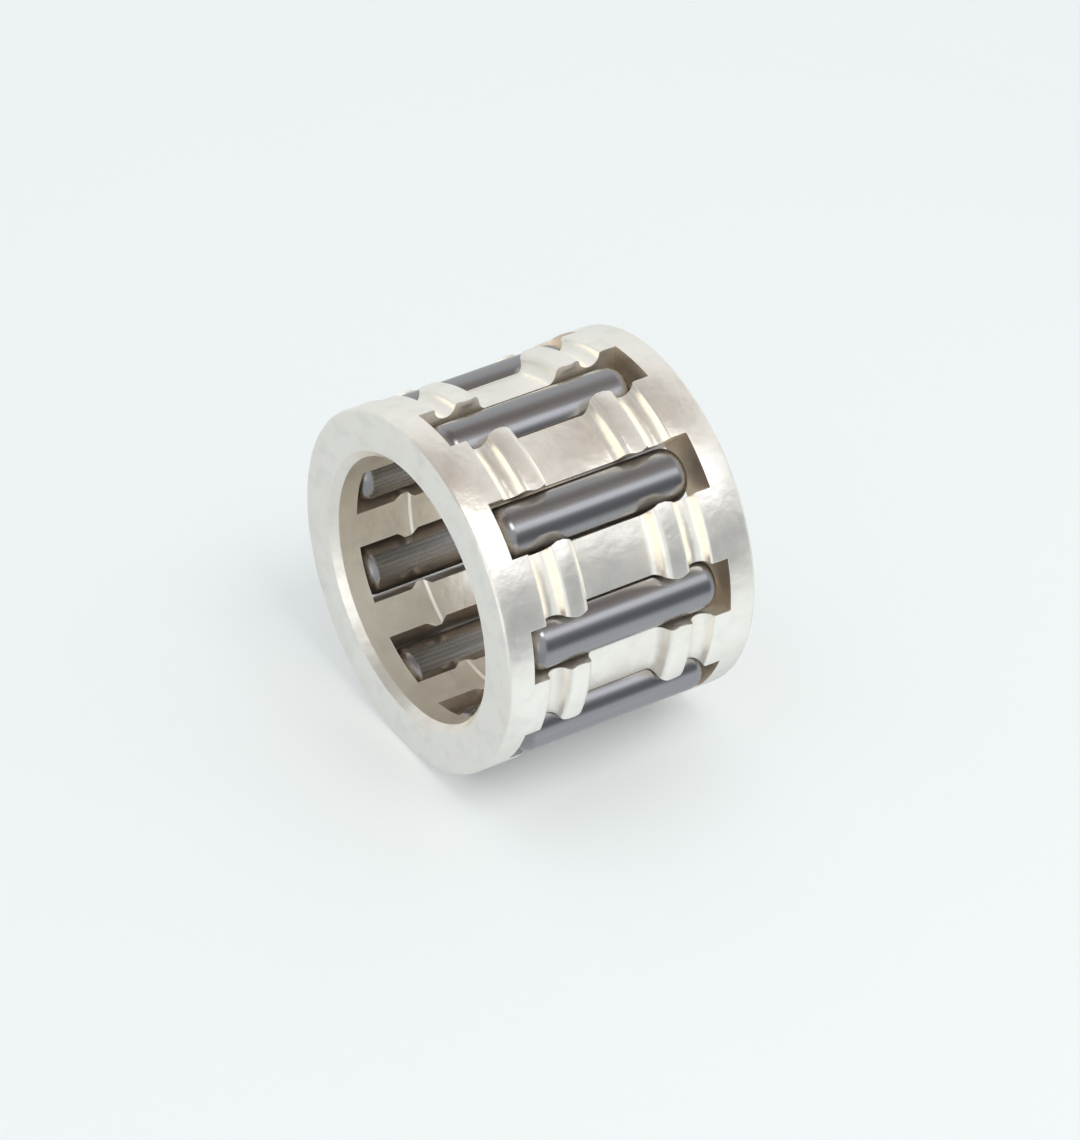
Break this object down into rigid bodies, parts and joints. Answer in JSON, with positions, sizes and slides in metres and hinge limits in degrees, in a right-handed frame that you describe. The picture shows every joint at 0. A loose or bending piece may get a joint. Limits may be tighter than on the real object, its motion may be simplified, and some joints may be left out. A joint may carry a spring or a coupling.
{
  "type": "piston pin needle bearing",
  "caption": "Needle roller and cage assembly for a piston pin: a one-piece M-section cage with loose needle rollers in its pockets.",
  "frame": {"origin": "middle of the lower end face, on the bearing's axis", "axes": "+Z along the bearing's axis, from the end it stands on to the other end; the two ends are alike. A needle's pocket is centred on -Y."},
  "size_m": [0.017, 0.0168, 0.0128],
  "materials": {
    "silver_plate": "satin silver plating on steel",
    "needle_steel": "hardened bearing steel, ground and polished"
  },
  "bodies": {
    "cage": {"cage": "silver_plate"},
    "needle_01": {"needle_01": "needle_steel"},
    "needle_02": {"needle_02": "needle_steel"},
    "needle_03": {"needle_03": "needle_steel"},
    "needle_04": {"needle_04": "needle_steel"},
    "needle_05": {"needle_05": "needle_steel"},
    "needle_06": {"needle_06": "needle_steel"},
    "needle_07": {"needle_07": "needle_steel"},
    "needle_08": {"needle_08": "needle_steel"},
    "needle_09": {"needle_09": "needle_steel"}
  },
  "joints": [
    {"name": "needle_01_roll", "type": "hinge", "parent": "cage", "child": "needle_01", "pos_m": [0, -0.00698, 0.00625], "axis": [0, 0, 1], "continuous": true},
    {"name": "needle_02_roll", "type": "hinge", "parent": "cage", "child": "needle_02", "pos_m": [0.00444, -0.00529, 0.00625], "axis": [0, 0, 1], "continuous": true},
    {"name": "needle_03_roll", "type": "hinge", "parent": "cage", "child": "needle_03", "pos_m": [0.00688, -0.00121, 0.00625], "axis": [0, 0, 1], "continuous": true},
    {"name": "needle_04_roll", "type": "hinge", "parent": "cage", "child": "needle_04", "pos_m": [0.00623, 0.00359, 0.00625], "axis": [0, 0, 1], "continuous": true},
    {"name": "needle_05_roll", "type": "hinge", "parent": "cage", "child": "needle_05", "pos_m": [0.00254, 0.00698, 0.00625], "axis": [0, 0, 1], "continuous": true},
    {"name": "needle_06_roll", "type": "hinge", "parent": "cage", "child": "needle_06", "pos_m": [-0.00259, 0.00712, 0.00625], "axis": [0, 0, 1], "continuous": true},
    {"name": "needle_07_roll", "type": "hinge", "parent": "cage", "child": "needle_07", "pos_m": [-0.00656, 0.00379, 0.00625], "axis": [0, 0, 1], "continuous": true},
    {"name": "needle_08_roll", "type": "hinge", "parent": "cage", "child": "needle_08", "pos_m": [-0.00731, -0.00129, 0.00625], "axis": [0, 0, 1], "continuous": true},
    {"name": "needle_09_roll", "type": "hinge", "parent": "cage", "child": "needle_09", "pos_m": [-0.00462, -0.00551, 0.00625], "axis": [0, 0, 1], "continuous": true}
  ]
}
